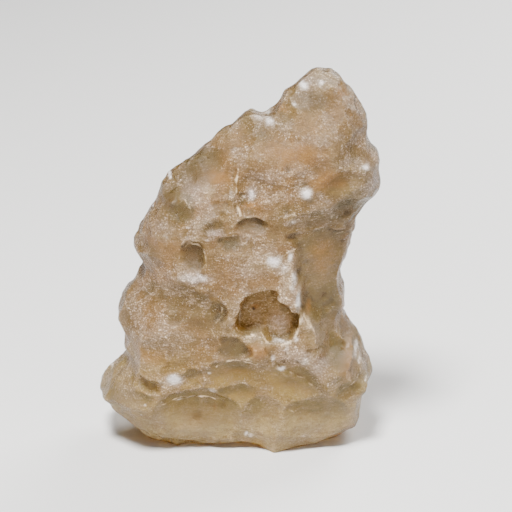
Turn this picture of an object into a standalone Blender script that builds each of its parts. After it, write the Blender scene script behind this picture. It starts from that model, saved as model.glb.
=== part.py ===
"""Libyan desert glass: one wind-scoured nodule of natural glass that stands on its own worn foot.

The stone is one piece. A rounded slab is grown inside its outline, remeshed evenly, carved on every
side by basins, bowls, knobs and ridges, and ground flat at z = 0 where it rests.
Row frame: +Z up, the carved face looks along -Y, the origin is under the middle of the stone.
Lengths are in millimetres until the mesh is made.
"""

import math
from typing import NamedTuple

import bmesh
import bpy
import numpy as np
from mathutils import Vector, noise

NAME = "desert_glass"
MM = 0.001

# Driving dimensions.
HEART = (1.0, 20.0)  # x and z of the point inside the stone that its outline is seen from
EDGE_ROUNDING = 6.5  # how far in from the outline the slab reaches its full thickness
CARVING_VOXEL = 0.42
CARVED_TRIANGLES = 9200
RIM_SOFTNESS = 0.22  # how far the rim of a bowl is worn round

# The outline as seen from the front, x and z, in stretches that run clockwise from the peak.
OUTLINE = {
    "peak": [(6.4, 48.9), (8.3, 50.4), (9.6, 50.8), (10.4, 50.7), (11.4, 50.9), (12.4, 50.1), (13.1, 49.0)],
    "right shoulder": [
        (14.0, 47.9), (14.6, 46.6), (15.4, 45.0), (15.9, 43.7), (16.0, 42.4), (16.8, 40.4), (17.6, 39.2),
        (17.9, 37.2), (18.4, 35.2), (17.4, 33.9),
    ],
    "right waist": [
        (16.5, 33.2), (15.6, 32.1), (14.7, 29.7), (14.2, 28.9), (14.2, 28.1), (13.6, 25.2), (13.0, 23.0),
        (13.5, 20.6), (13.2, 18.6), (13.4, 16.9),
    ],
    "right hip": [(14.1, 15.9), (16.3, 12.7), (17.4, 9.4), (16.7, 7.1), (15.8, 3.8), (15.4, 1.8)],
    "foot": [
        (14.4, 0.8), (13.0, 0.1), (10.4, -0.4), (8.4, -1.6), (6.6, -3.9), (4.6, -4.4), (2.6, -4.2), (1.4, -2.8),
        (0.4, -0.9), (-1.6, -0.8), (-4.6, -2.0), (-7.4, -2.4), (-8.6, -2.8), (-9.8, -2.4), (-11.0, -1.4),
    ],
    "left flank": [(-12.8, -0.4), (-14.3, 1.0), (-16.4, 2.9), (-17.9, 4.6)],
    "left hip": [(-19.3, 6.3), (-18.3, 8.3), (-16.5, 10.7), (-15.4, 12.0)],
    "left waist": [
        (-15.8, 13.1), (-15.6, 14.5), (-16.2, 16.3), (-16.2, 18.3), (-15.8, 20.3), (-14.6, 21.9), (-13.6, 23.5),
    ],
    "left shoulder": [
        (-13.4, 24.8), (-14.4, 26.8), (-13.5, 28.7), (-12.5, 31.4), (-11.4, 32.9), (-10.9, 34.3), (-10.6, 35.6),
        (-8.8, 37.3),
    ],
    "left slope": [
        (-6.4, 39.0), (-4.1, 40.9), (-1.6, 43.1), (0.4, 44.9), (1.4, 45.3), (2.8, 45.1), (4.2, 46.4), (5.2, 47.9),
    ],
}
# Height, front half thickness and back half thickness of the slab, from below the foot to the peak.
THICKNESS = [
    (-4.0, 7.0, 6.0), (4.0, 8.0, 7.0), (12.0, 8.8, 8.2), (22.0, 8.8, 8.6), (34.0, 7.2, 7.6), (44.0, 5.6, 6.0),
    (52.0, 4.6, 4.6),
]


class Pan(NamedTuple):
    """A steep-walled hollow inside a drawn outline. Its floor is a tilted plane given by its y at one place."""

    outline: list
    at: tuple
    floor: float
    tilt_x: float
    tilt_z: float
    wall: float  # how many millimetres the wall rises for each millimetre across
    foot: float  # how far inside the outline the wall begins to rise


class Bowl(NamedTuple):
    """A cut like a thumb mark: half width, half height, turn in degrees, depth, how flat its floor is, and
    how much deeper the floor gets for each millimetre along x and z, which sharpens the rim on that side."""

    x: float
    z: float
    wide: float
    tall: float
    turn: float
    deep: float
    flat: float = 2.0
    lean_x: float = 0.0
    lean_z: float = 0.0


class Knob(NamedTuple):
    x: float
    z: float
    wide: float
    tall: float
    high: float


PANS = {
    "side hollow": Pan(
        [
            (5.7, 31.0), (6.1, 29.9), (6.7, 29.0), (6.9, 27.7), (6.9, 25.9), (7.4, 24.9), (7.7, 23.8),
            (7.8, 21.6), (8.4, 20.5), (9.3, 19.4), (10.1, 18.3), (10.6, 16.0), (12.0, 14.0), (19.0, 14.0),
            (19.0, 29.0), (14.6, 30.2), (12.1, 31.0), (8.9, 31.4),
        ],
        at=(7.7, 27.0), floor=-6.1, tilt_x=0.44, tilt_z=0.0, wall=2.2, foot=0.5,
    ),
    "deep pit": Pan(
        [
            (0.2, 22.1), (1.5, 22.9), (2.9, 23.3), (4.1, 23.3), (4.4, 22.6), (5.2, 21.6), (6.0, 20.9),
            (6.9, 20.3), (7.2, 19.5), (7.0, 18.2), (6.2, 17.0), (5.2, 16.6), (3.9, 16.6), (3.3, 17.0),
            (2.9, 17.5), (2.4, 17.9), (1.0, 17.7), (0.3, 17.8), (-0.5, 18.9), (-0.4, 19.9), (0.0, 21.1),
        ],
        at=(2.1, 20.4), floor=-5.8, tilt_x=-0.08, tilt_z=0.14, wall=2.6, foot=0.35,
    ),
}
FRONT_BOWLS = {
    "left shoulder slope": Bowl(-5.8, 37.0, 6.5, 5.0, 40, 0.8),
    "shoulder recess": Bowl(-4.9, 38.2, 3.8, 1.9, 38, 0.8, lean_z=0.12),
    "edge recess": Bowl(-8.9, 34.7, 2.3, 2.1, -20, 0.9, lean_x=0.28),
    "crusted pocket": Bowl(1.0, 36.1, 1.9, 3.0, 0, 0.6, flat=3.4, lean_x=-0.15, lean_z=-0.1),
    "shelf recess": Bowl(1.2, 32.4, 2.1, 1.2, 0, 0.5, flat=2.6, lean_z=0.3),
    "left shelf recess": Bowl(-3.9, 31.7, 1.7, 1.2, 8, 0.4, lean_z=0.25),
    "small shelf recess": Bowl(-1.6, 30.0, 1.6, 0.8, 5, 0.35, lean_z=0.3),
    "right edge pit": Bowl(13.4, 33.6, 1.9, 1.4, 20, 0.7, lean_x=-0.15),
    "amber pan": Bowl(13.1, 36.8, 2.6, 1.6, 10, 0.5, lean_z=0.1),
    "hollow lead-in": Bowl(11.0, 31.6, 5.2, 3.2, -5, 1.8),
    "round pit": Bowl(-6.4, 28.2, 1.6, 2.0, 0, 0.9, flat=4.0, lean_x=0.15, lean_z=0.15),
    "thumb pit": Bowl(-3.9, 20.7, 1.5, 1.9, 0, 0.6, flat=2.6, lean_x=0.35, lean_z=0.1),
    "left hollow": Bowl(-8.1, 20.2, 5.6, 3.4, -5, 0.8, lean_z=0.12),
    "dark pan": Bowl(-1.7, 15.8, 2.1, 1.9, 0, 0.45, flat=3.0, lean_x=0.1),
    "lower left hollow": Bowl(-8.9, 15.4, 4.6, 2.6, 10, 0.4, lean_z=0.05),
    "upper scoop": Bowl(-1.5, 11.5, 3.3, 2.0, 4, 0.8, lean_z=0.28),
    "upper right scoop": Bowl(6.0, 10.0, 4.6, 2.4, -28, 0.8, lean_z=0.22),
    "left small scoop": Bowl(-6.6, 11.2, 1.6, 1.2, 0, 0.5, lean_z=0.3),
    "far left small scoop": Bowl(-12.1, 10.2, 1.6, 0.9, 0, 0.35, lean_z=0.3),
    "low left small scoop": Bowl(-13.7, 7.9, 2.2, 1.2, -8, 0.35, lean_z=0.25),
    "middle scoop": Bowl(-0.9, 8.3, 2.6, 1.5, 5, 0.5, lean_z=0.3),
    "broad left scoop": Bowl(-5.9, 4.2, 5.8, 4.6, -4, 1.3, flat=2.8, lean_z=0.2),
    "broad right scoop": Bowl(9.7, 4.4, 4.6, 3.2, -3, 1.0, flat=2.4, lean_z=0.22),
    "centre foot scoop": Bowl(2.7, 5.0, 3.0, 2.8, 20, 0.6, lean_z=0.12),
    "hip facet": Bowl(16.3, 12.6, 1.9, 4.8, -14, 1.5, flat=3.0, lean_x=-0.15),
    "hip undercut": Bowl(14.5, 8.9, 2.6, 1.3, 38, 0.7, lean_z=0.25),
}
FRONT_KNOBS = {
    "shoulder knob": Knob(-10.5, 31.6, 2.2, 2.0, 0.9),
    "left bead": Knob(-4.7, 34.2, 1.2, 1.2, 0.4),
    "peach knob": Knob(1.7, 15.4, 1.7, 1.4, 0.9),
    "crust": Knob(8.1, 14.6, 2.8, 2.0, 0.9),
    "hip knob": Knob(12.7, 12.4, 2.0, 2.6, 0.9),
    "eye": Knob(6.5, 32.9, 0.8, 0.8, 0.5),
    "pale bead": Knob(8.3, 36.1, 0.8, 0.8, 0.5),
    "plateau": Knob(2.7, 26.8, 4.6, 3.2, 0.5),
    "pillar": Knob(7.1, 22.8, 0.8, 2.6, 0.3),
    "white patch": Knob(-6.7, 25.4, 2.4, 0.9, 0.4),
    "left bulge": Knob(-13.7, 11.4, 3.5, 2.4, 0.7),
    "upper right bulge": Knob(10.7, 41.0, 5.0, 4.0, 0.6),
    "top ridge": Knob(2.3, 41.0, 2.4, 3.4, 0.5),
}
# Bowls that cover the back and the edges, where nothing is drawn by hand.
WILD_BOWLS = 80
WILD_SEED = 11
WILD_REACH = (1.6, 5.2)  # smallest and largest radius
WILD_DEPTH = (0.16, 0.3)  # depth as a share of the radius
NOISE_SEED = 3
LUMPS = [(7.0, 0.4), (3.4, 0.24), (1.7, 0.1)]  # wavelength and height of the stone's own waviness
SWELL = (15.0, 1.1)  # the same for the broad swells of its front and back
SHEAR = (8.0, 1.3)  # wavelength and width of the drift that keeps the outline's dips from running straight through
SWAY = (2.2, 0.25)  # wavelength and width of the wander in the rims of what is cut


def closed_curve(points, steps=6):
    """A smooth closed Catmull-Rom curve through the points."""
    p = np.array(points, float)
    before, after, later = np.roll(p, 1, 0), np.roll(p, -1, 0), np.roll(p, -2, 0)
    rows = []
    for t in np.arange(steps) / steps:
        bend = (2 * before - 5 * p + 4 * after - later) * t**2
        twist = (3 * p - before - 3 * after + later) * t**3
        rows.append(0.5 * (2 * p + (after - before) * t + bend + twist))
    return np.stack(rows, 1).reshape(-1, 2)


def smooth_step(value, low, high):
    t = np.clip((value - low) / (high - low), 0, 1)
    return t * t * (3 - 2 * t)


def smooth_max(a, b, softness):
    overlap = np.maximum(softness - np.abs(a - b), 0) / softness
    return np.maximum(a, b) + overlap * overlap * softness / 4


def distance_to(line, points):
    """How far each point lies from a closed line, positive inside it."""
    nearest = np.full(len(points), np.inf)
    crossings = np.zeros(len(points), int)
    for start, end in zip(line, np.roll(line, -1, 0)):
        step = end - start
        t = np.clip(((points - start) @ step) / (step @ step), 0, 1)
        nearest = np.minimum(nearest, np.linalg.norm(points - start - t[:, None] * step, axis=1))
        spans = (start[1] > points[:, 1]) != (end[1] > points[:, 1])
        rise = step[1] if step[1] else 1.0
        crossings += spans & (points[:, 0] < start[0] + (points[:, 1] - start[1]) * step[0] / rise)
    return np.where(crossings % 2 == 1, nearest, -nearest)


def stone_outline():
    return closed_curve([point for stretch in OUTLINE.values() for point in stretch])


def slab_depth(flat, side):
    """The y of the slab's surface over points of the outline plane, on side -1 (front) or 1 (back)."""
    inward = np.clip(distance_to(stone_outline(), flat) / EDGE_ROUNDING, 0, 1)
    rounded = np.sqrt(1 - (1 - inward) ** 2.2)
    heights, front, back = np.array(THICKNESS).T
    half = np.where(side < 0, np.interp(flat[:, 1], heights, front), np.interp(flat[:, 1], heights, back))
    return side * half * rounded


def slab_form(sphere):
    """Moves the points of a unit sphere onto the rounded slab inside the outline."""
    spokes = stone_outline() - HEART
    turn = np.arctan2(spokes[:, 1], spokes[:, 0])
    order = np.argsort(turn)
    reach = np.hypot(*spokes.T)[order]
    share = np.hypot(sphere[:, 0], sphere[:, 2])
    angle = np.arctan2(sphere[:, 2], sphere[:, 0])
    radius = np.interp(angle, turn[order], reach, period=2 * math.pi) * share
    flat = np.array(HEART) + radius[:, None] * np.stack([np.cos(angle), np.sin(angle)], 1)
    return np.stack([flat[:, 0], slab_depth(flat, np.where(sphere[:, 1] < 0, -1, 1)), flat[:, 1]], 1)


def wander(points, wavelength, width):
    """A smooth random shift of every point, with the same three axes."""
    return width * np.array([noise.noise_vector(Vector(p) / wavelength) for p in points])


def ripple(points, wavelength, height):
    return height * np.array([noise.noise(Vector(p) / wavelength) for p in points])


def sheared(points):
    """The points of the slab, drifting along its outline plane the more the further they are from its middle."""
    drift = wander(points, *SHEAR) * smooth_step(np.abs(points[:, 1]), 1.5, 6.5)[:, None]
    return points + drift * (1, 0, 1)


def wild_bowls():
    """Seeded bowls over the back and the edges: middle, radius and depth."""
    dice = np.random.default_rng(WILD_SEED)
    line = stone_outline()
    for number in range(WILD_BOWLS):
        on_edge = number % 2 == 0
        rim = line[dice.integers(len(line))]
        inset = dice.uniform(0.02, 0.16) if on_edge else dice.uniform(0.15, 1.0)
        flat = rim + (np.array(HEART) - rim) * inset
        side = -1 if number % 8 == 0 else 1
        middle = np.array([flat[0], slab_depth(flat[None], side)[0], flat[1]])
        radius = dice.uniform(*WILD_REACH) * (0.7 if on_edge else 1.0)
        yield middle, radius, radius * dice.uniform(*WILD_DEPTH)


def carve_all_round(points, normals):
    """The points of the slab, moved along its normals to the stone's waviness and its wild bowls."""
    dip = -sum(ripple(points, *lump) for lump in LUMPS)
    dip -= ripple(points, *SWELL) * np.abs(normals[:, 1])
    for middle, radius, deep in wild_bowls():
        floor = deep * (1 - (np.linalg.norm(points - middle, axis=1) / radius) ** 2)
        dip = smooth_max(dip, floor, RIM_SOFTNESS)
    return points - normals * dip[:, None]


def carve_front(points, normals):
    """The points, moved along y wherever they face the front, to its knobs, bowls and pans."""
    flat = (points + wander(points, *SWAY))[:, [0, 2]]
    dip = np.zeros(len(points))
    for knob in FRONT_KNOBS.values():
        away = (flat - (knob.x, knob.z)) / (knob.wide, knob.tall)
        dip -= knob.high * np.exp(-(away**2).sum(1))
    for bowl in FRONT_BOWLS.values():
        c, s = math.cos(math.radians(bowl.turn)), math.sin(math.radians(bowl.turn))
        u, v = ((flat - (bowl.x, bowl.z)) @ [[c, -s], [s, c]]).T
        floor = bowl.deep * (1 - np.hypot(u / bowl.wide, v / bowl.tall) ** bowl.flat)
        dip = smooth_max(dip, floor + bowl.lean_x * u + bowl.lean_z * v, RIM_SOFTNESS)
    depth = points[:, 1] + dip
    for pan in PANS.values():
        inside = distance_to(closed_curve(pan.outline, 4), flat)
        floor = pan.floor + (flat - pan.at) @ [pan.tilt_x, pan.tilt_z]
        wall = smooth_max(pan.foot - inside, 0, 0.3) * pan.wall
        depth = smooth_max(depth, floor - wall, RIM_SOFTNESS)
    facing = smooth_step(-normals[:, 1], -0.05, 0.2)
    carved = points.copy()
    carved[:, 1] += facing * (depth - points[:, 1])
    return carved


def corners(mesh):
    places = np.empty(len(mesh.vertices) * 3, np.float32)
    mesh.vertices.foreach_get("co", places)
    return places.reshape(-1, 3).astype(float) / MM


def facings(mesh):
    """The direction each vertex faces, summed up in a fixed order so that every build comes out the same."""
    mesh.calc_loop_triangles()
    trios = np.empty(len(mesh.loop_triangles) * 3, np.int32)
    mesh.loop_triangles.foreach_get("vertices", trios)
    places = corners(mesh)
    a, b, c = places[trios.reshape(-1, 3).T]
    across = np.repeat(np.cross(b - a, c - a), 3, axis=0)
    normals = np.stack([np.bincount(trios, across[:, axis], len(places)) for axis in range(3)], 1)
    return normals / np.linalg.norm(normals, axis=1, keepdims=True)


def evaluated_mesh(obj):
    """The object's mesh with its modifiers applied, as a new mesh."""
    bpy.context.view_layer.update()
    return bpy.data.meshes.new_from_object(obj.evaluated_get(bpy.context.evaluated_depsgraph_get()))


def grow_slab():
    """The uncarved slab, as an object with an even mesh."""
    grown = bmesh.new()
    bmesh.ops.create_icosphere(grown, subdivisions=7, radius=1)
    for vert, place in zip(grown.verts, slab_form(np.array([v.co for v in grown.verts]))):
        vert.co = Vector(place) * MM
    mesh = bpy.data.meshes.new(NAME)
    grown.to_mesh(mesh)
    grown.free()
    stone = bpy.data.objects.new(NAME, mesh)
    bpy.context.scene.collection.objects.link(stone)
    even = stone.modifiers.new("even", "REMESH")
    even.mode = "VOXEL"
    even.voxel_size = CARVING_VOXEL * MM
    stone.data = evaluated_mesh(stone)
    stone.modifiers.clear()
    return stone


def carve_stone(stone):
    """Moves the slab's vertices to the carved surface."""
    points = sheared(corners(stone.data))
    normals = facings(stone.data)
    carved = carve_front(carve_all_round(points, normals), normals)
    stone.data.vertices.foreach_set("co", (carved * MM).astype(np.float32).ravel())
    stone.data.update()


def lighten(stone):
    """Keeps the carving but brings the mesh down to its budget of triangles."""
    thin = stone.modifiers.new("thin", "DECIMATE")
    thin.ratio = CARVED_TRIANGLES / (2 * len(stone.data.polygons))
    stone.data = evaluated_mesh(stone)
    stone.modifiers.clear()


def grind_foot(stone):
    """Cuts the foot flat at z = 0 and closes it."""
    ground = bmesh.new()
    ground.from_mesh(stone.data)
    everything = ground.verts[:] + ground.edges[:] + ground.faces[:]
    bmesh.ops.bisect_plane(ground, geom=everything, plane_co=(0, 0, 0), plane_no=(0, 0, 1), clear_inner=True)
    bmesh.ops.holes_fill(ground, edges=[e for e in ground.edges if e.is_boundary], sides=0)
    bmesh.ops.triangulate(ground, faces=[f for f in ground.faces if len(f.verts) > 3])
    ground.to_mesh(stone.data)
    ground.free()


def centre(stone):
    """Brings the middle of the stone over the origin."""
    places = corners(stone.data)
    middle = (places.min(0) + places.max(0)) / 2
    for vert in stone.data.vertices:
        vert.co.x -= middle[0] * MM
        vert.co.y -= middle[1] * MM


def glass_material():
    material = bpy.data.materials.new("desert glass")
    material.use_nodes = True
    shader = material.node_tree.nodes["Principled BSDF"]
    shader.inputs["Base Color"].default_value = (0.52, 0.38, 0.22, 1)
    shader.inputs["Roughness"].default_value = 0.45
    shader.inputs["IOR"].default_value = 1.46
    shader.inputs["Subsurface Weight"].default_value = 0.6
    shader.inputs["Subsurface Scale"].default_value = 0.003
    return material


def main():
    noise.seed_set(NOISE_SEED)
    for old in list(bpy.data.objects):
        bpy.data.objects.remove(old)
    stone = grow_slab()
    carve_stone(stone)
    lighten(stone)
    grind_foot(stone)
    centre(stone)
    stone.data.shade_smooth()
    stone.data.materials.append(glass_material())


main()
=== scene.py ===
import math

import bmesh
import bpy
import numpy as np
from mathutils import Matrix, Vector, noise


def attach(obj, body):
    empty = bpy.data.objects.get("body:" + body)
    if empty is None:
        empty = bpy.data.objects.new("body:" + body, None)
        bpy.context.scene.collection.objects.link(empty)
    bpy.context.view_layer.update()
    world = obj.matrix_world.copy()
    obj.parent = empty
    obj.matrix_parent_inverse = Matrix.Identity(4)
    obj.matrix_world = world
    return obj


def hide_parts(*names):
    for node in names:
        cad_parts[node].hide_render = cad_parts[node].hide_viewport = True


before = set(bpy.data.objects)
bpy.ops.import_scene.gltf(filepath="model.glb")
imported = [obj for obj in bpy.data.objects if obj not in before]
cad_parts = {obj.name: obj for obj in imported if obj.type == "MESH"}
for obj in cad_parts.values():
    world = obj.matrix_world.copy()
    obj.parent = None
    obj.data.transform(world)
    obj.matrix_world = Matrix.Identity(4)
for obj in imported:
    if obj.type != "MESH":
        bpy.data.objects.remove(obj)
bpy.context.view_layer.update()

# A wind-scoured nodule of Libyan desert glass on a pale table. Lengths are in millimetres unless a note
# says otherwise. The carved face looks along -Y.
mm = 0.001

stone = {
    "heart": (1.0, 20.0),  # x and z of the point inside the stone that its outline is seen from
    "edgeRounding": 6.5,
    "voxel": 0.2,
    "triangles": 186000,
    "rimSoftness": 0.12,
    "foldLimit": 0.2,  # a triangle is folded where its cosine to the surface at a corner is under this
    # rounds of smoothing that spread a fold over its surroundings, and that ease the surface there
    "foldRounds": (8, 16),
    # the outline seen from the front, x and z, clockwise from the peak
    "outline": [
        (6.4, 48.9), (8.3, 50.4), (9.6, 50.8), (10.4, 50.7), (11.4, 50.9), (12.4, 50.1), (13.1, 49.0),
        (14.0, 47.9), (14.6, 46.6), (15.4, 45.0), (15.9, 43.7), (16.0, 42.4), (16.8, 40.4), (17.6, 39.2),
        (17.9, 37.2), (18.4, 35.2), (17.4, 33.9), (16.5, 33.2), (15.6, 32.1), (14.7, 29.7), (14.2, 28.9),
        (14.2, 28.1), (13.6, 25.2), (13.0, 23.0), (13.5, 20.6), (13.2, 18.6), (13.4, 16.9), (14.1, 15.9),
        (16.3, 12.7), (17.4, 9.4), (16.7, 7.1), (15.8, 3.8), (15.4, 1.8), (14.4, 0.8), (13.0, 0.1),
        (10.4, -0.4), (8.4, -1.6), (6.6, -3.9), (4.6, -4.4), (2.6, -4.2), (1.4, -2.8), (0.4, -0.9),
        (-1.6, -0.8), (-4.6, -2.0), (-7.4, -2.4), (-8.6, -2.8), (-9.8, -2.4), (-11.0, -1.4),
        (-12.8, -0.4), (-14.3, 1.0), (-16.4, 2.9), (-17.9, 4.6), (-19.3, 6.3), (-18.3, 8.3),
        (-16.5, 10.7), (-15.4, 12.0), (-15.8, 13.1), (-15.6, 14.5), (-16.2, 16.3), (-16.2, 18.3),
        (-15.8, 20.3), (-14.6, 21.9), (-13.6, 23.5), (-13.4, 24.8), (-14.4, 26.8), (-13.5, 28.7),
        (-12.5, 31.4), (-11.4, 32.9), (-10.9, 34.3), (-10.6, 35.6), (-8.8, 37.3), (-6.4, 39.0),
        (-4.1, 40.9), (-1.6, 43.1), (0.4, 44.9), (1.4, 45.3), (2.8, 45.1), (4.2, 46.4), (5.2, 47.9),
    ],
    # height, front half thickness and back half thickness
    "thickness": [
        (-4.0, 7.0, 6.0), (4.0, 8.0, 7.0), (12.0, 8.8, 8.2), (22.0, 8.8, 8.6), (34.0, 7.2, 7.6),
        (44.0, 5.6, 6.0), (52.0, 4.6, 4.6),
    ],
    # steep-walled hollows: outline of the rim, a place on the floor, the floor's y there, how much it falls
    # back for each millimetre along x and z, the wall's slope, how far its foot lies inside the rim, how
    # soft the rim is, how olive or honey-coloured the floor is and how pale the rim is, which is partly a
    # painted highlight
    "pans": {
        "side hollow": dict(
            outline=[
                (5.7, 31.0), (6.1, 29.9), (6.7, 29.0), (6.9, 27.7), (6.9, 25.9), (7.4, 24.9), (7.7, 23.8),
                (7.8, 21.6), (8.4, 20.5), (9.3, 19.4), (10.1, 18.3), (10.6, 16.0), (12.0, 14.0),
                (19.0, 14.0), (19.0, 29.0), (14.6, 30.2), (12.1, 31.0), (8.9, 31.4),
            ],
            at=(7.7, 27.0), floor=-6.1, tilt=(0.44, 0.0), wall=2.2, foot=0.5, soft=0.3,
            olive=0.8, honey=0.3,
        ),
        "deep pit": dict(
            outline=[
                (0.2, 22.1), (1.5, 22.9), (2.9, 23.3), (4.1, 23.3), (4.4, 22.6), (5.2, 21.6), (6.0, 20.9),
                (6.9, 20.3), (7.2, 19.5), (7.0, 18.2), (6.2, 17.0), (5.2, 16.6), (3.9, 16.6), (3.3, 17.0),
                (2.9, 17.5), (2.4, 17.9), (1.0, 17.7), (0.3, 17.8), (-0.5, 18.9), (-0.4, 19.9), (0.0, 21.1),
            ],
            at=(2.1, 20.4), floor=-6.1, tilt=(-0.08, 0.22), wall=5.0, foot=0.3, soft=0.12,
            olive=0.3, honey=0.5, rim=1.0,
        ),
    },
    # thumb marks: place, half width and height, turn, depth, how flat the floor is, how much deeper it gets
    # for each millimetre along x and z, how olive or honey-coloured the clean glass in it is, and how much
    # painted shade darkens its steep side
    "bowls": {
        "left shoulder slope": dict(at=(-5.8, 37.0), size=(6.5, 5.0), turn=40, deep=0.8),
        "shoulder recess": dict(at=(-4.9, 38.2), size=(3.8, 1.9), turn=38, deep=0.8, lean=(0, 0.12),
                                olive=0.7),
        "edge recess": dict(at=(-8.9, 34.7), size=(2.3, 2.1), turn=-20, deep=0.9, lean=(0.28, 0),
                            olive=0.7),
        "crusted pocket": dict(at=(1.0, 36.1), size=(1.9, 3.0), deep=0.6, flat=3.4, lean=(-0.15, -0.1),
                               paintedShade=0.3),
        "shelf recess": dict(at=(1.2, 32.2), size=(2.1, 1.1), deep=0.5, flat=5.0, lean=(0, 0.3), olive=0.9,
                             paintedShade=0.5),
        "left shelf recess": dict(at=(-3.9, 31.7), size=(1.7, 1.2), turn=8, deep=0.4, lean=(0, 0.25),
                                  olive=0.6),
        "small shelf recess": dict(at=(-1.6, 30.0), size=(1.6, 0.8), turn=5, deep=0.35, lean=(0, 0.3),
                                   olive=0.9),
        "right edge pit": dict(at=(13.4, 33.6), size=(1.9, 1.4), turn=20, deep=0.7, lean=(-0.15, 0),
                               olive=0.6),
        "amber pan": dict(at=(13.1, 36.8), size=(2.6, 1.6), turn=10, deep=0.5, lean=(0, 0.1), honey=0.6),
        "hollow lead-in": dict(at=(10.0, 31.3), size=(4.0, 2.6), turn=-5, deep=1.2, olive=0.4),
        "round pit": dict(at=(-6.4, 28.2), size=(1.6, 2.0), deep=0.9, flat=4.0, lean=(0.15, 0.15),
                          olive=0.8, paintedShade=0.4),
        "thumb pit": dict(at=(-3.9, 20.7), size=(1.5, 1.9), deep=0.5, flat=3.0, lean=(0.3, 0.1), olive=0.3),
        "left hollow": dict(at=(-8.1, 20.2), size=(5.6, 3.4), turn=-5, deep=0.8, lean=(0, 0.12)),
        "dark pan": dict(at=(-1.7, 15.8), size=(2.1, 1.9), deep=0.45, flat=3.0, lean=(0.1, 0), olive=0.9),
        "lower left hollow": dict(at=(-8.9, 15.4), size=(4.6, 2.6), turn=10, deep=0.4, lean=(0, 0.05)),
        "upper scoop": dict(at=(-1.5, 11.5), size=(3.3, 2.0), turn=4, deep=0.8, lean=(0, 0.28), honey=1.0),
        "upper right scoop": dict(at=(6.0, 10.0), size=(4.6, 2.4), turn=-28, deep=0.8, lean=(0, 0.22),
                                  honey=0.9),
        "left small scoop": dict(at=(-6.6, 11.2), size=(1.6, 1.2), deep=0.5, lean=(0, 0.3), honey=0.8),
        "far left small scoop": dict(at=(-12.1, 10.2), size=(1.6, 0.9), deep=0.35, lean=(0, 0.3),
                                     olive=0.4),
        "low left small scoop": dict(at=(-13.7, 7.9), size=(2.2, 1.2), turn=-8, deep=0.35, lean=(0, 0.25),
                                     olive=0.3),
        "middle scoop": dict(at=(-0.9, 8.3), size=(2.6, 1.5), turn=5, deep=0.5, lean=(0, 0.3), honey=0.9),
        "broad left scoop": dict(at=(-5.9, 4.2), size=(5.8, 4.6), turn=-4, deep=1.3, flat=2.8,
                                 lean=(0, 0.2), honey=0.8),
        "broad right scoop": dict(at=(9.7, 4.4), size=(4.6, 3.2), turn=-3, deep=1.0, flat=2.4,
                                  lean=(0, 0.22), honey=0.7),
        "centre foot scoop": dict(at=(2.7, 5.0), size=(3.0, 2.8), turn=20, deep=0.6, lean=(0, 0.12),
                                  honey=0.4),
        "hip facet": dict(at=(16.3, 12.6), size=(1.9, 4.8), turn=-14, deep=1.5, flat=3.0, lean=(-0.15, 0)),
        "hip undercut": dict(at=(14.5, 8.9), size=(2.6, 1.3), turn=38, deep=0.7, lean=(0, 0.25), olive=0.5),
    },
    # low swellings: x, z, half width, half height and how far they stand out
    "knobs": {
        "shoulder knob": (-10.5, 31.6, 2.2, 2.0, 0.9),
        "left bead": (-4.7, 34.2, 1.2, 1.2, 0.4),
        "peach knob": (1.7, 15.4, 1.7, 1.4, 0.9),
        "crust": (8.1, 14.6, 2.8, 2.0, 0.9),
        "hip knob": (12.7, 12.4, 2.0, 2.6, 0.9),
        "eye": (6.5, 32.9, 0.8, 0.8, 0.5),
        "pale bead": (8.3, 36.1, 0.8, 0.8, 0.5),
        "plateau": (2.7, 26.8, 4.6, 3.2, 0.5),
        "pillar": (7.1, 22.8, 0.8, 2.6, 0.3),
        "white patch": (-6.7, 25.4, 2.4, 0.9, 0.4),
        "left bulge": (-13.7, 11.4, 3.5, 2.4, 0.7),
        "upper right bulge": (10.7, 41.0, 5.0, 4.0, 0.6),
        "top ridge": (2.3, 41.0, 2.4, 3.4, 0.5),
    },
    # drawn lines: path, height (a crease where negative), width, how pale its edge is, partly as a painted
    # highlight, and, for a ledge, how far its top reaches to the left of the path
    "strokes": {
        "edge recess rim": dict(path=[(-8.0, 35.8), (-7.2, 35.3), (-6.6, 34.6), (-6.4, 33.6)],
                                high=0.11, width=0.2, pale=0.5),
        "pocket rim": dict(path=[(-0.6, 39.3), (-0.7, 37.5), (-0.6, 35.6), (-0.4, 34.3), (-0.2, 33.4),
                                 (1.1, 33.2), (2.6, 33.1)], high=0.22, width=0.22, pale=0.9),
        "flaky step": dict(path=[(0.4, 38.2), (2.6, 37.8), (4.9, 37.5), (7.4, 37.6)],
                           high=0.17, width=0.15, reach=1.2, pale=0.3),
        "round pit lip": dict(path=[(-7.3, 29.4), (-6.6, 30.0), (-5.7, 29.8), (-5.0, 29.0), (-4.7, 28.1),
                                    (-4.5, 26.9), (-4.6, 26.2)], high=0.19, width=0.2, pale=1.0),
        "eye arc": dict(path=[(5.4, 33.3), (6.0, 33.7), (6.7, 33.7), (7.5, 33.1)],
                        high=0.15, width=0.16, pale=0.4),
        "thumb pit lip": dict(path=[(-4.0, 22.6), (-3.5, 22.5), (-3.0, 22.2), (-2.6, 21.5), (-2.8, 20.2),
                                    (-3.3, 19.5)], high=0.15, width=0.2, pale=0.6),
        "patch ledge": dict(path=[(-13.0, 22.5), (-9.5, 23.6), (-6.0, 23.8), (-3.2, 24.2)],
                            high=0.22, width=0.3, reach=1.2),
        "pillar edge": dict(path=[(8.0, 29.2), (6.8, 28.9), (5.7, 28.7), (6.0, 27.6), (6.6, 26.6),
                                  (6.8, 24.7), (7.1, 23.2), (7.5, 21.4), (8.3, 19.9), (9.5, 17.7)],
                            high=0.09, width=0.2, pale=0.8),
        "hollow crease": dict(path=[(14.2, 29.4), (13.5, 28.9), (12.9, 28.5), (12.4, 27.9)],
                              high=-0.25, width=0.14),
        "hollow crease lip": dict(path=[(11.2, 28.7), (11.6, 29.5), (12.7, 29.9), (13.8, 30.2)],
                                  high=0.11, width=0.2, pale=0.6),
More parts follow.
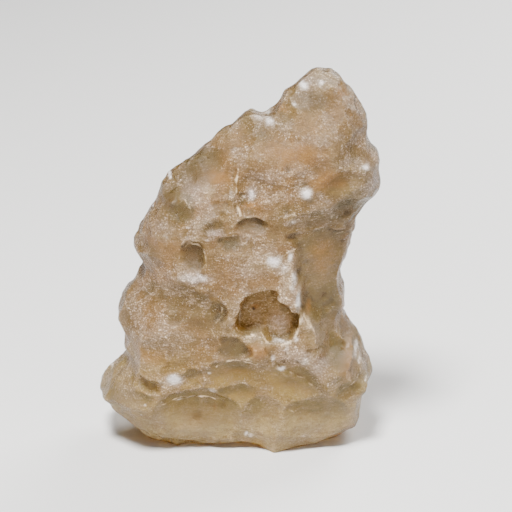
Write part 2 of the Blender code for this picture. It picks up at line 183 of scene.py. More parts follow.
        "right pit lip": dict(path=[(11.4, 32.0), (11.6, 33.3), (12.2, 34.2), (13.1, 34.3)],
                              high=0.15, width=0.2, pale=0.5),
        "left scoop lip": dict(path=[(-10.6, 7.4), (-8.8, 7.8), (-7.4, 8.2), (-6.0, 8.3), (-4.5, 8.2),
                                     (-3.6, 7.5)], high=0.09, width=0.16, pale=0.9),
        "small scoop lip": dict(path=[(-7.8, 11.0), (-7.2, 11.7), (-6.7, 12.0), (-5.7, 11.5)],
                                high=0.08, width=0.16, pale=0.4),
        "upper scoop lip": dict(path=[(-3.2, 13.1), (-1.8, 14.0), (-0.6, 14.1), (0.7, 13.6), (1.8, 13.3)],
                                high=0.11, width=0.18, pale=0.9),
        "knob ledge": dict(path=[(-1.2, 14.6), (0.0, 14.4), (1.2, 14.0)], high=0.08, width=0.2, pale=0.6),
        "middle scoop lip": dict(path=[(-2.1, 9.0), (-0.9, 9.8), (0.4, 9.8)],
                                 high=0.09, width=0.16, pale=0.3),
        "crust edge": dict(path=[(11.2, 8.6), (10.9, 8.8), (9.9, 9.5), (8.2, 11.0), (6.6, 12.0),
                                 (4.9, 12.4), (4.0, 13.6), (3.4, 15.1)],
                           high=0.38, width=0.2, reach=1.6, pale=0.6),
        "right scoop lip": dict(path=[(5.6, 6.6), (6.9, 6.0), (7.8, 6.7), (9.5, 7.1), (10.8, 7.3)],
                                high=0.11, width=0.2, pale=0.4),
        "hip ridge": dict(path=[(13.0, 15.2), (13.6, 14.4), (14.9, 13.1), (15.3, 11.9), (15.5, 10.5)],
                          high=0.22, width=0.25, pale=0.5),
        "hip lower lip": dict(path=[(15.2, 10.4), (14.1, 9.6), (13.4, 9.1), (12.5, 8.6)],
                              high=0.22, width=0.22, pale=0.8),
        "crack": dict(path=[(-3.8, 19.2), (-3.5, 17.8), (-3.0, 16.4), (-2.4, 15.2)],
                      high=0.06, width=0.14, pale=0.5),
        "crust crack": dict(path=[(8.6, 15.6), (9.8, 15.6), (10.6, 15.0)], high=-0.26, width=0.16),
        "crust slit": dict(path=[(5.7, 15.8), (5.6, 15.0), (5.2, 14.2)], high=-0.38, width=0.16),
        "crust pits": dict(path=[(5.0, 13.7), (5.8, 13.5), (7.1, 13.6)], high=-0.3, width=0.25),
    },
    # bowls over the back and the edges: how many, seed, radius range, depth as a share of the radius
    "wildBowls": (80, 11, (1.6, 5.2), (0.16, 0.3)),
    "noiseSeed": 3,
    # wavelength and size of each smooth drift of the surface, of the carved marks and of the tints
    "lumps": [(7.0, 0.4), (3.4, 0.24), (1.7, 0.1)],
    "swell": (15.0, 1.1),
    "shear": (8.0, 1.3),
    "sway": (2.2, 0.25),
    "jitter": (0.8, 0.1),
    "tintWander": (1.3, 0.3),
    # wind scallops all round, large and small: how many, radius range, depth as a share of the radius
    "scallops": [(700, (1.0, 2.8), (0.12, 0.22)), (3600, (0.45, 1.1), (0.16, 0.32))],
    "scallopSeed": 5,
    "scallopSoftness": 0.04,
    # ripples too small for the solid: wavelength and height
    "grit": [(0.9, 0.06), (0.5, 0.04)],
    # masks of what stands proud of its surroundings and of what lies under them: their names, the rounds
    # that smooth the surroundings, and the heights at which the masks begin and are full
    "reliefMasks": [
        ("rim", "crease", 3, (0.008, 0.06)), ("high", "low", 40, (0.0, 0.25)),
        ("hill", "dale", 300, (0.0, 0.8)),
    ],
}
noise.seed_set(stone["noiseSeed"])


def closedCurve(points, steps=6):
    # a smooth closed Catmull-Rom curve through the points
    p = np.array(points, float)
    before, after, later = np.roll(p, 1, 0), np.roll(p, -1, 0), np.roll(p, -2, 0)
    rows = []
    for t in np.arange(steps) / steps:
        bend = (2 * before - 5 * p + 4 * after - later) * t**2
        twist = (3 * p - before - 3 * after + later) * t**3
        rows.append(0.5 * (2 * p + (after - before) * t + bend + twist))
    return np.stack(rows, 1).reshape(-1, 2)


def smoothStep(value, low, high):
    t = np.clip((value - low) / (high - low), 0, 1)
    return t * t * (3 - 2 * t)


def smoothMax(a, b, softness):
    overlap = np.maximum(softness - np.abs(a - b), 0) / softness
    return np.maximum(a, b) + overlap * overlap * softness / 4


def distanceTo(line, points):
    # how far each point lies from a closed line, positive inside it
    nearest = np.full(len(points), np.inf)
    crossings = np.zeros(len(points), int)
    for start, end in zip(line, np.roll(line, -1, 0)):
        step = end - start
        t = np.clip(((points - start) @ step) / (step @ step), 0, 1)
        nearest = np.minimum(nearest, np.linalg.norm(points - start - t[:, None] * step, axis=1))
        spans = (start[1] > points[:, 1]) != (end[1] > points[:, 1])
        rise = step[1] if step[1] else 1.0
        crossings += spans & (points[:, 0] < start[0] + (points[:, 1] - start[1]) * step[0] / rise)
    return np.where(crossings % 2 == 1, nearest, -nearest)


outlineCurve = closedCurve(stone["outline"])


def slabDepth(flat, side):
    # the y of the uncarved slab over points of the outline plane, on side -1 (front) or 1 (back)
    inward = np.clip(distanceTo(outlineCurve, flat) / stone["edgeRounding"], 0, 1)
    rounded = np.sqrt(1 - (1 - inward) ** 2.2)
    heights, front, back = np.array(stone["thickness"]).T
    half = np.where(side < 0, np.interp(flat[:, 1], heights, front), np.interp(flat[:, 1], heights, back))
    return side * half * rounded


def slabForm(sphere):
    # moves the points of a unit sphere onto the rounded slab inside the outline
    spokes = outlineCurve - stone["heart"]
    turn = np.arctan2(spokes[:, 1], spokes[:, 0])
    order = np.argsort(turn)
    reach = np.hypot(*spokes.T)[order]
    share = np.hypot(sphere[:, 0], sphere[:, 2])
    angle = np.arctan2(sphere[:, 2], sphere[:, 0])
    radius = np.interp(angle, turn[order], reach, period=2 * math.pi) * share
    flat = np.array(stone["heart"]) + radius[:, None] * np.stack([np.cos(angle), np.sin(angle)], 1)
    return np.stack([flat[:, 0], slabDepth(flat, np.where(sphere[:, 1] < 0, -1, 1)), flat[:, 1]], 1)


def wander(points, wavelength, width):
    # a smooth random shift of every point, with the same three axes
    return width * np.array([noise.noise_vector(Vector(p) / wavelength) for p in points])


def ripple(points, wavelength, height):
    return height * np.array([noise.noise(Vector(p) / wavelength) for p in points])


def sheared(points):
    drift = wander(points, *stone["shear"]) * smoothStep(np.abs(points[:, 1]), 1.5, 6.5)[:, None]
    return points + drift * (1, 0, 1)


def wildBowls():
    # middle, radius and depth of each seeded bowl
    count, seed, reach, share = stone["wildBowls"]
    dice = np.random.default_rng(seed)
    heart = np.array(stone["heart"])
    for number in range(count):
        onEdge = number % 2 == 0
        rim = outlineCurve[dice.integers(len(outlineCurve))]
        inset = dice.uniform(0.02, 0.16) if onEdge else dice.uniform(0.15, 1.0)
        flat = rim + (heart - rim) * inset
        side = -1 if number % 8 == 0 else 1
        middle = np.array([flat[0], slabDepth(flat[None], side)[0], flat[1]])
        radius = dice.uniform(*reach) * (0.7 if onEdge else 1.0)
        yield middle, radius, radius * dice.uniform(*share)


def carveAllRound(points, normals):
    dip = -sum(ripple(points, *lump) for lump in stone["lumps"])
    dip -= ripple(points, *stone["swell"]) * np.abs(normals[:, 1])
    for middle, radius, deep in wildBowls():
        floor = deep * (1 - (np.linalg.norm(points - middle, axis=1) / radius) ** 2)
        dip = smoothMax(dip, floor, stone["rimSoftness"])
    return points - normals * dip[:, None]


def bowlFloor(flat, bowl):
    # depth of a bowl's floor under the surface, negative outside it, and how near each place is to the
    # bowl's steep side
    turn = math.radians(bowl.get("turn", 0))
    c, s = math.cos(turn), math.sin(turn)
    u, v = ((flat - bowl["at"]) @ [[c, -s], [s, c]]).T
    wide, tall = bowl["size"]
    leanX, leanZ = bowl.get("lean", (0, 0))
    floor = bowl["deep"] * (1 - np.hypot(u / wide, v / tall) ** bowl.get("flat", 2.0))
    steepness = math.hypot(leanX, leanZ) or 1.0
    ahead = (leanX * u / wide + leanZ * v / tall) / steepness
    return floor + leanX * u + leanZ * v, ahead


def strokeLift(flat, stroke):
    # the height of a drawn ridge, crease or ledge over each place, and how far off its line each place is
    path = np.array(stroke["path"])
    nearest = np.full(len(flat), np.inf)
    beside = np.zeros(len(flat))
    for start, step in zip(path, np.diff(path, axis=0)):
        t = np.clip(((flat - start) @ step) / (step @ step), 0, 1)
        away = flat - start - t[:, None] * step
        far = np.hypot(*away.T)
        closer = far < nearest
        nearest = np.where(closer, far, nearest)
        cross = step[0] * away[:, 1] - step[1] * away[:, 0]
        beside = np.where(closer, np.sign(cross) * far, beside)
    if "reach" not in stroke:
        return stroke["high"] * np.exp(-((nearest / stroke["width"]) ** 2)), nearest
    top = smoothStep(beside, -stroke["width"], stroke["width"])
    return stroke["high"] * top * np.exp(-nearest / stroke["reach"]), nearest


def carveFront(points, normals):
    # cuts the named knobs, bowls and pans along y wherever the surface faces the front
    flat = (points + wander(points, *stone["sway"]) + wander(points, *stone["jitter"]))[:, [0, 2]]
    facing = smoothStep(-normals[:, 1], -0.05, 0.2)
    tones = {name: np.zeros(len(points)) for name in ("olive", "honey", "paintedShade", "pale")}
    # edges come and go along their length
    broken = 0.4 + 0.6 * smoothStep(ripple(points, 0.7, 1.0), -0.25, 0.3)

    def tone(name, strength):
        np.maximum(tones[name], strength * facing, out=tones[name])

    dip = np.zeros(len(points))
    for x, z, wide, tall, high in stone["knobs"].values():
        away = (flat - (x, z)) / (wide, tall)
        dip -= high * np.exp(-(away**2).sum(1))
    for bowl in stone["bowls"].values():
        floor, ahead = bowlFloor(flat, bowl)
        dip = smoothMax(dip, floor, stone["rimSoftness"] + 0.5 * smoothStep(-ahead, -0.35, 0.6))
        inside = smoothStep(floor / bowl["deep"], 0.1, 0.75)
        tone("olive", bowl.get("olive", 0) * inside)
        tone("honey", bowl.get("honey", 0) * inside)
        if "lean" in bowl:
            # painted shade: the steep side under the rim is darkened where light from above would not reach
            steep = smoothStep(floor, 0, 0.25) * smoothStep(ahead, -0.1, 0.8)
            tone("paintedShade", bowl.get("paintedShade", 0.85) * steep)
    depth = points[:, 1] + dip
    for pan in stone["pans"].values():
        inside = distanceTo(closedCurve(pan["outline"], 4), flat)
        floor = pan["floor"] + (flat - pan["at"]) @ pan["tilt"]
        wall = smoothMax(pan["foot"] - inside, 0, 0.3) * pan["wall"]
        cut = floor - wall - depth
        depth = smoothMax(depth, floor - wall, pan["soft"])
        tone("olive", pan["olive"] * smoothStep(cut, 0.1, 0.9))
        tone("honey", pan["honey"] * smoothStep(cut, 0.1, 0.9))
        # a pale lip round the rim, partly pale frost and partly a painted highlight
        lip = np.exp(-(((inside + 0.1) / 0.18) ** 2)) * smoothStep(-cut, -0.8, -0.2)
        tone("pale", pan.get("rim", 0) * broken * lip)
    for stroke in stone["strokes"].values():
        lift, off = strokeLift(flat, stroke)
        depth -= lift * (0.35 + 0.65 * broken)
        # pale edges along the lines, partly frost and partly painted highlights where the lips catch the
        # light
        tone("pale", stroke.get("pale", 0) * broken * np.exp(-((off / 0.16) ** 2)))
    carved = points.copy()
    carved[:, 1] += facing * (depth - points[:, 1])
    return carved, tones


def corners(mesh):
    places = np.empty(len(mesh.vertices) * 3, np.float32)
    mesh.vertices.foreach_get("co", places)
    return places.reshape(-1, 3).astype(float) / mm


def triangles(mesh):
    # the vertices of each triangle and a vector across it, as long as twice its area
    mesh.calc_loop_triangles()
    trios = np.empty(len(mesh.loop_triangles) * 3, np.int32)
    mesh.loop_triangles.foreach_get("vertices", trios)
    trios = trios.reshape(-1, 3)
    a, b, c = corners(mesh)[trios.T]
    return trios, np.cross(b - a, c - a)


def edgePairs(mesh):
    edges = np.empty(len(mesh.edges) * 2, np.int32)
    mesh.edges.foreach_get("vertices", edges)
    return edges.reshape(-1, 2)


def relax(values, edges, rounds):
    # spreads values over the mesh: each round, every vertex takes the mean of its neighbours
    count = len(values)
    degree = np.bincount(edges.ravel(), minlength=count)
    for _ in range(rounds):
        total = np.bincount(edges[:, 0], values[edges[:, 1]], count)
        total += np.bincount(edges[:, 1], values[edges[:, 0]], count)
        values = 0.5 * values + 0.5 * total / degree
    return values


def smoothed(points, edges, rounds):
    return np.stack([relax(along, edges, rounds) for along in points.T], 1)


def facings(mesh):
    # the direction each vertex faces, summed up in a fixed order so that every run comes out the same
    trios, across = triangles(mesh)
    across = np.repeat(across, 3, axis=0)
    count = len(mesh.vertices)
    normals = np.stack([np.bincount(trios.ravel(), across[:, axis], count) for axis in range(3)], 1)
    return normals / np.linalg.norm(normals, axis=1, keepdims=True)


def putCorners(mesh, points):
    mesh.vertices.foreach_set("co", (points * mm).astype(np.float32).ravel())
    mesh.update()


def applyModifiers(obj):
    bpy.context.view_layer.update()
    obj.data = bpy.data.meshes.new_from_object(obj.evaluated_get(bpy.context.evaluated_depsgraph_get()))
    obj.modifiers.clear()


def growSlab():
    grown = bmesh.new()
    bmesh.ops.create_icosphere(grown, subdivisions=7, radius=1)
    for vert, place in zip(grown.verts, slabForm(np.array([v.co for v in grown.verts]))):
        vert.co = Vector(place) * mm
    mesh = bpy.data.meshes.new("glassNodule")
    grown.to_mesh(mesh)
    grown.free()
    nodule = bpy.data.objects.new("glassNodule", mesh)
    bpy.context.scene.collection.objects.link(nodule)
    even = nodule.modifiers.new("even", "REMESH")
    even.mode = "VOXEL"
    even.voxel_size = stone["voxel"] * mm
    applyModifiers(nodule)
    return nodule


def carve(nodule):
    mesh = nodule.data
    points, normals = sheared(corners(mesh)), facings(mesh)
    carved, tones = carveFront(carveAllRound(points, normals), normals)
    putCorners(mesh, carved)
    for name, values in tones.items():
        paint(mesh, name + "Glass", values)
    return np.maximum(tones["honey"], tones["olive"])


def unfold(nodule):
    # eases the places where carving has folded the surface over itself
    mesh = nodule.data
    points, normals, edges = corners(mesh), facings(mesh), edgePairs(mesh)
    trios, across = triangles(mesh)
    across = across / np.maximum(np.linalg.norm(across, axis=1, keepdims=True), 1e-9)
    folded = np.zeros(len(points))
    folded[trios[(across[:, None] * normals[trios]).sum(2) < stone["foldLimit"]]] = 1
    spread, eased = stone["foldRounds"]
    share = np.minimum(4 * relax(folded, edges, spread), 1)
    putCorners(mesh, points + share[:, None] * (smoothed(points, edges, eased) - points))


def scallop(nodule, calm):
    # hammers small bowls into the surface, fewer where it is calm
    mesh = nodule.data
    points, normals = corners(mesh), facings(mesh)
    dice = np.random.default_rng(stone["scallopSeed"])
    dip = -sum(ripple(points, *size) for size in stone["grit"]) * (1 - 0.7 * calm)
    order = np.argsort(points[:, 2])
    heights = points[order, 2]
    for count, reach, share in stone["scallops"]:
        for _ in range(count):
            middle = dice.integers(len(points))
            radius, deep, luck = dice.uniform(*reach), dice.uniform(*share), dice.uniform()
            if luck < calm[middle]:
                continue
            x, y, z = points[middle]
            near = order[np.searchsorted(heights, z - radius):np.searchsorted(heights, z + radius)]
            near = near[np.abs(points[near, 0] - x) < radius]
            away = np.linalg.norm(points[near] - (x, y, z), axis=1) / radius
            bowl = radius * deep * (1 - away**2)
            dip[near] = smoothMax(dip[near], bowl, stone["scallopSoftness"])
    putCorners(mesh, points - normals * dip[:, None])


def lighten(nodule):
    thin = nodule.modifiers.new("thin", "DECIMATE")
    thin.ratio = min(1.0, stone["triangles"] / (2 * len(nodule.data.polygons)))
    applyModifiers(nodule)


def grindFoot(nodule):
    # cuts the foot flat at z = 0 and closes it
    ground = bmesh.new()
    ground.from_mesh(nodule.data)
    everything = ground.verts[:] + ground.edges[:] + ground.faces[:]
    level = {"plane_co": (0, 0, 0), "plane_no": (0, 0, 1)}
    bmesh.ops.bisect_plane(ground, geom=everything, clear_inner=True, **level)
    bmesh.ops.holes_fill(ground, edges=[e for e in ground.edges if e.is_boundary], sides=0)
    bmesh.ops.triangulate(ground, faces=[f for f in ground.faces if len(f.verts) > 3])
    bmesh.ops.recalc_face_normals(ground, faces=ground.faces[:])
    ground.to_mesh(nodule.data)
    ground.free()


def bulge(mesh, points, normals, rounds):
    # how far each vertex stands proud of its smoothed surroundings
    return ((points - smoothed(points, edgePairs(mesh), rounds)) * normals).sum(1)


def paint(mesh, name, values):
    layer = mesh.attributes.new(name, "FLOAT", "POINT")
    layer.data.foreach_set("value", np.clip(values, 0, 1).astype(np.float32))


# coloured places on the carved face: x, z, half width, half height, strength
tints = {
    # white mineral specks; a few tiny ones near the left edge are painted glints
    "white": [
        (-8.8, 11.5, 1.0, 0.8, 1.0), (-8.9, 11.7, 0.4, 0.4, 1.0), (4.1, 27.6, 0.95, 0.75, 1.0),
        (5.3, 26.5, 0.6, 0.7, 0.6), (6.4, 24.4, 0.4, 0.9, 0.7), (1.2, 36.1, 0.4, 0.8, 0.8),
        (8.2, 36.2, 0.85, 0.75, 1.0), (3.5, 44.5, 0.65, 0.6, 1.0), (2.2, 45.0, 0.9, 0.5, 0.7),
        (7.6, 49.2, 0.8, 0.6, 0.8), (9.9, 49.5, 0.4, 0.3, 0.9), (6.6, 46.9, 0.4, 0.3, 0.7),
        (-9.3, 36.5, 0.25, 0.28, 1.0), (-11.4, 32.7, 0.18, 0.2, 0.9), (-1.4, 36.4, 0.4, 0.35, 0.6),
        (15.6, 39.1, 0.55, 0.4, 0.8), (6.6, 32.6, 0.4, 0.35, 0.7), (-4.3, 30.5, 0.3, 0.2, 0.9),
        (-6.7, 31.9, 0.5, 0.2, 0.7), (-17.4, 9.3, 0.2, 0.3, 0.8), (-12.6, 7.6, 0.2, 0.2, 0.9),
        (-13.3, 5.7, 0.2, 0.2, 0.8), (-4.2, 12.2, 0.25, 0.18, 0.9), (-3.9, 9.5, 0.6, 0.4, 0.8),
        (-8.2, 7.9, 0.5, 0.15, 0.8), (-6.8, 8.2, 0.5, 0.15, 0.9), (-5.6, 8.2, 0.4, 0.15, 0.7),
        (0.4, 2.5, 0.3, 0.4, 0.9), (1.1, 2.2, 0.4, 0.3, 0.7), (8.1, 2.3, 0.4, 0.25, 0.6),
        (5.1, 12.6, 0.5, 0.35, 1.0), (4.1, 14.3, 0.3, 0.7, 0.7), (5.7, 15.6, 0.3, 0.7, 0.7),
        (4.9, 16.5, 1.2, 0.2, 0.8), (6.8, 17.2, 0.3, 0.5, 0.8), (13.9, 14.0, 0.4, 0.5, 0.5),
        (14.9, 13.1, 0.35, 0.6, 0.9), (15.3, 11.9, 0.2, 0.5, 0.7), (16.2, 9.5, 0.25, 0.2, 0.9),
        (-0.3, 19.5, 0.2, 1.6, 0.5), (-7.6, 25.5, 0.9, 0.5, 0.5), (-5.2, 25.8, 0.9, 0.4, 0.6),
        (7.2, 22.6, 0.3, 1.6, 0.9), (6.2, 28.0, 0.3, 0.9, 0.9), (6.7, 25.4, 0.25, 1.4, 0.9),
        (-6.4, 25.7, 1.9, 0.6, 0.4), (8.0, 14.2, 1.6, 0.9, 0.4), (9.8, 12.8, 0.9, 1.0, 0.35),
    ],
    "lavender": [
        (-6.0, 25.6, 2.3, 0.9, 0.8), (8.3, 49.6, 1.6, 1.2, 0.7), (16.4, 36.5, 1.0, 1.1, 0.8),
        (13.0, 40.1, 1.3, 0.5, 0.6), (1.2, 36.4, 0.9, 1.2, 0.9), (3.0, 38.6, 2.6, 1.3, 0.6),
        (-6.4, 36.1, 1.6, 1.4, 0.7), (-3.2, 31.1, 1.5, 0.8, 0.7), (-10.2, 31.4, 1.8, 1.4, 0.5),
        (-16.0, 8.8, 2.6, 2.4, 0.35), (-8.6, 11.2, 1.8, 1.3, 0.7), (-13.0, 13.6, 2.2, 1.8, 0.4),
        (1.6, 17.3, 0.6, 0.25, 0.5), (6.9, 14.4, 2.6, 1.8, 0.9), (9.9, 12.9, 1.6, 2.2, 0.9),
        (16.3, 11.4, 0.9, 2.0, 0.7), (-12.5, 22.8, 1.8, 1.6, 0.35), (2.3, 44.9, 1.2, 0.8, 0.6),
        (6.5, 23.4, 0.7, 2.4, 0.6), (4.9, 26.7, 1.6, 1.3, 0.5), (-11.2, 4.6, 1.8, 2.4, 0.4),
        (4.9, 18.8, 1.9, 1.7, 0.9), (1.6, 19.4, 2.0, 2.2, 0.5), (1.4, 26.6, 3.4, 1.6, 0.5),
        (10.2, 11.6, 1.6, 1.6, 0.6),
    ],
    # cream: pale patches of glass; the tall narrow strip at x 13.4 is a painted glow along the thin right
    # edge
    "cream": [
        (-4.2, 36.2, 1.1, 0.8, 0.7), (6.0, 42.3, 1.1, 0.7, 0.5), (2.6, 27.6, 3.4, 1.6, 0.7),
        (5.7, 25.2, 1.0, 2.4, 0.8), (0.7, 4.4, 1.6, 1.4, 0.6), (5.9, 7.0, 1.4, 0.6, 0.8),
        (9.4, 3.4, 3.0, 1.4, 0.5), (-7.4, 3.0, 3.4, 1.4, 0.4), (6.9, 32.7, 0.9, 0.8, 0.4),
        (8.3, 19.2, 0.8, 1.2, 0.7), (13.4, 25.0, 0.5, 3.6, 0.5), (3.0, 16.4, 1.6, 0.35, 0.7),
        (-6.3, 9.8, 1.4, 0.7, 0.5), (14.2, 9.7, 1.0, 0.4, 0.6),
    ],
    "amber": [
        (7.6, 41.4, 4.0, 1.8, 0.7), (11.4, 37.9, 3.2, 1.4, 0.8), (-3.2, 37.8, 1.7, 0.8, 0.9),
        (0.9, 34.6, 1.2, 0.5, 0.8), (1.8, 15.8, 1.1, 1.1, 1.0), (-3.6, 6.4, 0.4, 0.6, 0.7),
        (-3.6, 12.2, 0.2, 0.2, 0.8), (12.6, 48.4, 1.0, 1.4, 0.6), (5.0, 46.2, 1.2, 0.5, 0.6),
        (9.0, 44.6, 3.0, 1.6, 0.4), (-5.8, 4.9, 2.4, 1.6, 0.4), (-11.4, 14.6, 3.0, 1.4, 0.5),
        (10.6, 26.6, 2.4, 3.4, 0.5), (13.2, 21.0, 0.9, 2.4, 0.4), (14.0, 12.6, 1.6, 2.6, 0.8),
        (10.2, 27.8, 2.4, 2.8, 0.5), (-1.0, 12.4, 2.6, 0.9, 0.5), (2.2, 15.4, 1.2, 1.2, 1.0),
        (-9.6, 29.4, 2.6, 1.0, 0.4), (14.4, 3.8, 1.4, 2.2, 0.3), (8.4, 20.8, 0.5, 1.4, 0.6),
        (5.4, 20.6, 0.5, 0.4, 0.4), (1.7, 20.7, 0.6, 0.3, 0.8),
    ],
    # brown: rust-brown glass, and in the recesses under rims and ledges also painted shade
    "brown": [
        (-9.4, 34.4, 1.8, 1.2, 0.7), (-3.8, 32.2, 1.2, 0.4, 0.6), (0.9, 32.5, 1.2, 0.7, 0.7),
        (9.7, 31.6, 2.8, 1.2, 0.4), (8.4, 47.8, 2.2, 1.4, 0.7), (13.4, 33.0, 1.1, 0.8, 0.6),
        (9.4, 22.1, 1.6, 1.6, 0.3), (1.6, 20.5, 0.4, 0.3, 1.0), (-1.6, 15.7, 1.7, 1.6, 0.35),
        (-6.7, 11.8, 1.0, 0.4, 0.7), (-12.2, 10.3, 0.9, 0.4, 0.6), (-13.4, 7.9, 1.4, 0.4, 0.4),
        (-0.9, 9.3, 1.2, 0.2, 0.5), (6.2, 10.6, 2.2, 1.2, 0.5), (15.1, 8.9, 0.8, 0.4, 0.5),
        (-4.4, 22.4, 1.4, 1.4, 0.3), (5.2, 45.2, 1.4, 0.4, 0.4), (-5.4, 38.0, 2.6, 1.2, 0.8),
        (-6.4, 28.2, 1.5, 1.8, 0.8), (-11.6, 28.6, 2.0, 1.6, 0.5), (1.3, 32.3, 1.7, 0.5, 0.9),
        (-5.6, 19.2, 1.8, 1.6, 0.5), (-14.4, 12.2, 1.6, 0.6, 0.4), (13.4, 12.0, 1.6, 2.4, 0.5),
        (-16.6, 7.4, 2.0, 1.8, 0.45), (-13.4, 24.2, 1.2, 1.6, 0.4), (5.6, 10.4, 2.4, 1.2, 0.4),
    ],
    "olive": [
        (9.4, 47.4, 2.2, 1.3, 0.6), (2.2, 43.2, 1.6, 0.9, 0.6), (-7.8, 36.8, 1.8, 1.2, 0.5),
        (-1.2, 29.9, 1.4, 0.7, 1.0), (0.9, 32.3, 1.3, 0.8, 0.7), (-2.0, 28.2, 1.2, 0.2, 0.7),
        (1.4, 27.2, 1.8, 0.3, 0.5), (12.4, 13.8, 1.6, 2.2, 0.6), (12.0, 10.9, 1.2, 0.7, 0.8),
        (10.8, 8.9, 0.9, 0.5, 0.9), (-0.6, 13.0, 1.8, 0.8, 0.6), (9.6, 5.9, 1.8, 0.6, 0.5),
        (10.0, 19.6, 1.8, 1.8, 0.5), (-1.6, 15.7, 1.8, 1.6, 0.6), (9.9, 15.5, 1.2, 0.4, 0.5),
        (8.2, 47.4, 2.2, 1.2, 0.7), (-12.4, 28.0, 2.2, 1.6, 0.5), (-8.2, 20.0, 3.0, 1.8, 0.5),
        (-16.4, 7.4, 2.2, 2.4, 0.5), (-14.6, 18.4, 1.6, 2.6, 0.5),
    ],
    "dirt": [
        (1.5, 20.4, 0.28, 0.18, 1.0), (-1.1, 26.2, 0.14, 0.3, 0.9), (5.6, 15.0, 0.14, 0.5, 0.8),
        (5.3, 13.7, 0.3, 0.25, 0.9), (7.1, 13.6, 0.4, 0.2, 0.8), (-8.6, 24.5, 0.16, 0.5, 0.8),
        (-7.4, 29.5, 0.2, 0.2, 0.8), (9.9, 15.5, 0.6, 0.12, 0.6), (14.2, 32.4, 0.3, 0.15, 0.6),
        (0.4, 3.1, 0.2, 0.15, 0.7), (13.6, 42.8, 0.15, 0.2, 0.6),
    ],
}


def spotField(points, normals, spots):
    # how strongly each vertex is tinted by one list of spots
    flat = (points + wander(points, *stone["tintWander"]))[:, [0, 2]]
    field = np.zeros(len(points))
    for x, z, wide, tall, strength in spots:
        away = (flat - (x, z)) / (wide, tall)
        field = np.maximum(field, strength * np.exp(-(away**2).sum(1)))
    return field * smoothStep(-normals[:, 1], -0.2, 0.1)


def paintAll(nodule):
    mesh = nodule.data
    points, normals = corners(mesh), facings(mesh)
    for proud, sunk, rounds, span in stone["reliefMasks"]:
        rise = bulge(mesh, points, normals, rounds)
        paint(mesh, proud, smoothStep(rise, *span))
        paint(mesh, sunk, smoothStep(-rise, *span))
    # how far each vertex faces up; faces turned down are darkened with it as painted shade
    paint(mesh, "upward", 0.5 + 0.5 * normals[:, 2])


def tintFront(nodule):
    mesh = nodule.data
    points, normals = corners(mesh), facings(mesh)
    for name, spots in tints.items():
        paint(mesh, name, spotField(points, normals, spots))


def centre(nodule):
    places = corners(nodule.data)
    middle = (places.min(0) + places.max(0)) / 2 * (1, 1, 0)
    putCorners(nodule.data, places - middle)


class Value:
    # wraps a socket, so that sums and products of masks read as plain expressions
    def __init__(self, finish, socket):
        self.finish = finish
        self.socket = socket

    def math(self, operation, a, b=0.0):
        return self.finish.node("ShaderNodeMath", {"operation": operation}, {0: a, 1: b})

    def larger(self, other):
        return self.math("MAXIMUM", self, other)

    def size(self):
        return self.math("ABSOLUTE", self)

    def __add__(self, other):
        return self.math("ADD", self, other)

    def __sub__(self, other):
        return self.math("SUBTRACT", self, other)

    def __rsub__(self, other):
        return self.math("SUBTRACT", other, self)

    def __mul__(self, other):
        return self.math("MULTIPLY", self, other)

    __radd__ = __add__
    __rmul__ = __mul__


class Finish:
    # one material and its nodes
    def __init__(self, name):
        self.material = bpy.data.materials.new(name)
        self.material.use_nodes = True
        self.tree = self.material.node_tree
        self.tree.nodes.clear()

    def node(self, kind, settings=None, sockets=None, out=0):
        made = self.tree.nodes.new(kind)
        for key, value in (settings or {}).items():
            setattr(made, key, value)
        for key, value in (sockets or {}).items():
            if isinstance(value, Value):
                self.tree.links.new(value.socket, made.inputs[key])
            else:
                made.inputs[key].default_value = value
        return Value(self, made.outputs[out])

    def mask(self, name):
        return self.node("ShaderNodeAttribute", {"attribute_name": name}, out=2)

    def place(self):
        return self.node("ShaderNodeTexCoord", out=3)

    def noise(self, size, detail=2.0, rough=0.5, at=None, distortion=0.0):
        # a cloudy pattern whose lumps are size millimetres across
        sockets = {"Vector": at or self.place(), "Scale": 1 / (size * mm), "Detail": detail,
                   "Roughness": rough, "Distortion": distortion}
        return self.node("ShaderNodeTexNoise", {}, sockets)

    def threads(self, size, width, at):
        # fine winding lines
        field = self.noise(size, 3.0, 0.6, at=at, distortion=0.8)
        return self.step((field - 0.5).size(), width, 0.0)

    def step(self, value, low, high):
        sockets = {"Value": value, "From Min": low, "From Max": high}
        return self.node("ShaderNodeMapRange", {"interpolation_type": "SMOOTHSTEP"}, sockets)

    def mix(self, share, a, b, how="MIX"):
        colours = [c if isinstance(c, Value) else (*c, 1.0) for c in (a, b)]
        settings = {"data_type": "RGBA", "blend_type": how}
        return self.node("ShaderNodeMix", settings, {0: share, 6: colours[0], 7: colours[1]}, out=2)


# colours: pit darkens pores and grooves and, as painted shade, creases; depth is the glass seen through;
# olive also serves as painted shade, foot and honey as a painted glow, glint as a painted highlight, edge
# partly as a painted highlight and white partly as painted glints; the rest are named for what they are or
# where they lie
glass = {
    "sand": (0.35, 0.24, 0.075),
    "rose": (0.45, 0.275, 0.10),
    "honey": (0.64, 0.475, 0.125),
    "foot": (0.92, 0.74, 0.36),
    "white": (0.93, 0.88, 0.86),
    "lavender": (0.57, 0.47, 0.41),
    "cream": (0.80, 0.65, 0.40),
    "amber": (0.62, 0.33, 0.075),
    "brown": (0.18, 0.11, 0.03),
    "olive": (0.17, 0.135, 0.038),
    "dirt": (0.05, 0.03, 0.01),
    "pit": (0.52, 0.45, 0.27),
    "haze": (0.62, 0.48, 0.34),
    "frost": (0.86, 0.70, 0.53),
    "glint": (0.97, 0.89, 0.80),
    "edge": (0.86, 0.68, 0.44),
    "depth": (0.90, 0.76, 0.40),
}


def finishEnd(f, shader, volume=None):
    end = f.tree.nodes.new("ShaderNodeOutputMaterial")
    f.tree.links.new(shader.socket, end.inputs["Surface"])
    if volume:
        f.tree.links.new(volume.socket, end.inputs["Volume"])
    return f.material


